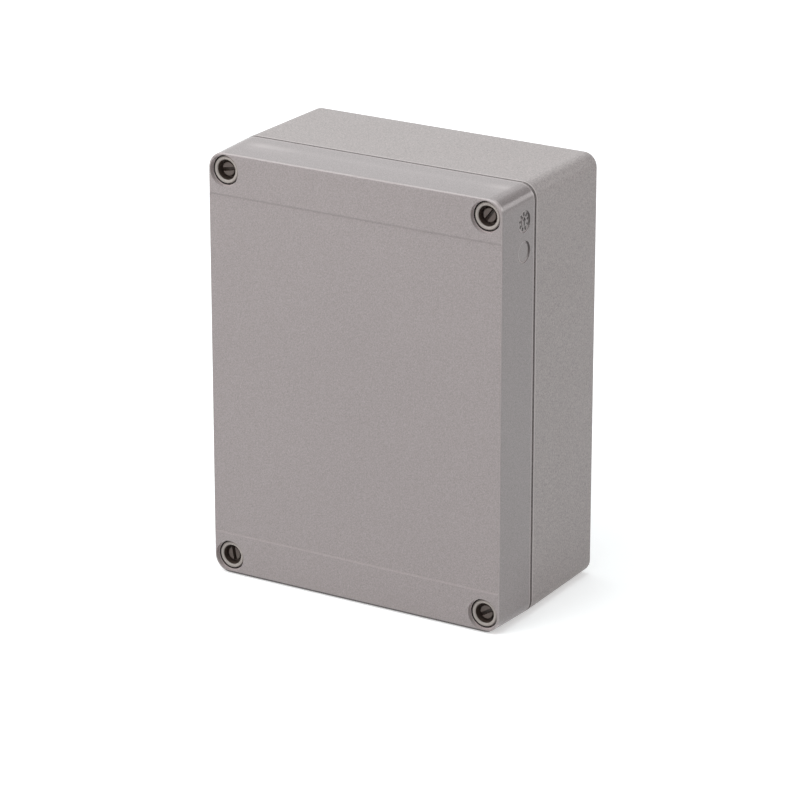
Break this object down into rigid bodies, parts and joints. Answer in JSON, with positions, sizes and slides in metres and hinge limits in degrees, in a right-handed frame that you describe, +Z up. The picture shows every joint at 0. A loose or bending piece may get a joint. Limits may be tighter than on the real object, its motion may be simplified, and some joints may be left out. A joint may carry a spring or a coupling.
{
  "type": "hinged polycarbonate enclosure",
  "caption": "Upright rectangular grey plastic housing with a shallow hinged lid, captive screws in round corner recesses, a seal rim and a flat back with fixing wells.",
  "frame": {"origin": "centre of the flat back face that lies against the wall", "axes": "+Z up, +X to the right seen from the front, +Y from the front of the lid towards the wall"},
  "size_m": [0.1605, 0.085, 0.2],
  "materials": {
    "base_plastic": "fine moulded grain, mid grey",
    "lid_plastic": "smooth semi-matt, mid grey",
    "screw_plastic": "smooth, warm light grey",
    "retainer_plastic": "plain",
    "hinge_plastic": "fine moulded grain, mid grey",
    "seal_foam": "foamed seal",
    "seal_rubber": "plain",
    "insert_brass": "turned",
    "steel": "stainless"
  },
  "bodies": {
    "base": {"base_leaf_screw_lower_bottom": "steel", "base_leaf_screw_lower_top": "steel", "base_leaf_screw_upper_bottom": "steel", "base_leaf_screw_upper_top": "steel", "base_shell": "base_plastic", "hinge_base_leaf_lower": "hinge_plastic", "hinge_base_leaf_upper": "hinge_plastic", "hinge_pin_lower": "steel", "hinge_pin_upper": "steel", "lid_insert_lower_left": "insert_brass", "lid_insert_lower_right": "insert_brass", "lid_insert_upper_left": "insert_brass", "lid_insert_upper_right": "insert_brass", "plate_insert_lower_left": "insert_brass", "plate_insert_lower_right": "insert_brass", "plate_insert_upper_left": "insert_brass", "plate_insert_upper_right": "insert_brass"},
    "lid": {"hinge_lid_leaf_lower": "hinge_plastic", "hinge_lid_leaf_upper": "hinge_plastic", "lid_gasket": "seal_foam", "lid_leaf_screw_lower_bottom": "steel", "lid_leaf_screw_lower_top": "steel", "lid_leaf_screw_upper_bottom": "steel", "lid_leaf_screw_upper_top": "steel", "lid_shell": "lid_plastic", "screw_retainer_lower_left": "retainer_plastic", "screw_retainer_lower_right": "retainer_plastic", "screw_retainer_upper_left": "retainer_plastic", "screw_retainer_upper_right": "retainer_plastic"},
    "seal_upper_left": {"screw_seal_upper_left": "seal_rubber"},
    "screw_upper_left": {"lid_screw_upper_left": "screw_plastic"},
    "seal_upper_right": {"screw_seal_upper_right": "seal_rubber"},
    "screw_upper_right": {"lid_screw_upper_right": "screw_plastic"},
    "seal_lower_left": {"screw_seal_lower_left": "seal_rubber"},
    "screw_lower_left": {"lid_screw_lower_left": "screw_plastic"},
    "seal_lower_right": {"screw_seal_lower_right": "seal_rubber"},
    "screw_lower_right": {"lid_screw_lower_right": "screw_plastic"}
  },
  "joints": [
    {"name": "lid_hinge", "type": "hinge", "parent": "base", "child": "lid", "pos_m": [-0.0815, -0.053, 0], "axis": [0, 0, -1], "range_deg": [0, 120]},
    {"name": "screw_travel_upper_left", "type": "slide", "parent": "lid", "child": "seal_upper_left", "axis": [0, -1, 0], "range_m": [0, 0.008]},
    {"name": "screw_turn_upper_left", "type": "hinge", "parent": "seal_upper_left", "child": "screw_upper_left", "pos_m": [-0.0663, -0.085, 0.0913], "axis": [0, -1, 0], "range_deg": [0, 720]},
    {"name": "screw_travel_upper_right", "type": "slide", "parent": "lid", "child": "seal_upper_right", "axis": [0, -1, 0], "range_m": [0, 0.008]},
    {"name": "screw_turn_upper_right", "type": "hinge", "parent": "seal_upper_right", "child": "screw_upper_right", "pos_m": [0.0663, -0.085, 0.0913], "axis": [0, -1, 0], "range_deg": [0, 720]},
    {"name": "screw_travel_lower_left", "type": "slide", "parent": "lid", "child": "seal_lower_left", "axis": [0, -1, 0], "range_m": [0, 0.008]},
    {"name": "screw_turn_lower_left", "type": "hinge", "parent": "seal_lower_left", "child": "screw_lower_left", "pos_m": [-0.0663, -0.085, -0.0913], "axis": [0, -1, 0], "range_deg": [0, 720]},
    {"name": "screw_travel_lower_right", "type": "slide", "parent": "lid", "child": "seal_lower_right", "axis": [0, -1, 0], "range_m": [0, 0.008]},
    {"name": "screw_turn_lower_right", "type": "hinge", "parent": "seal_lower_right", "child": "screw_lower_right", "pos_m": [0.0663, -0.085, -0.0913], "axis": [0, -1, 0], "range_deg": [0, 720]}
  ],
  "couplings": [
    {"joint": "screw_turn_upper_left", "follows": "screw_travel_upper_left", "rad_per_m": 1570.7},
    {"joint": "screw_turn_upper_right", "follows": "screw_travel_upper_right", "rad_per_m": 1570.7},
    {"joint": "screw_turn_lower_left", "follows": "screw_travel_lower_left", "rad_per_m": 1570.7},
    {"joint": "screw_turn_lower_right", "follows": "screw_travel_lower_right", "rad_per_m": 1570.7}
  ]
}
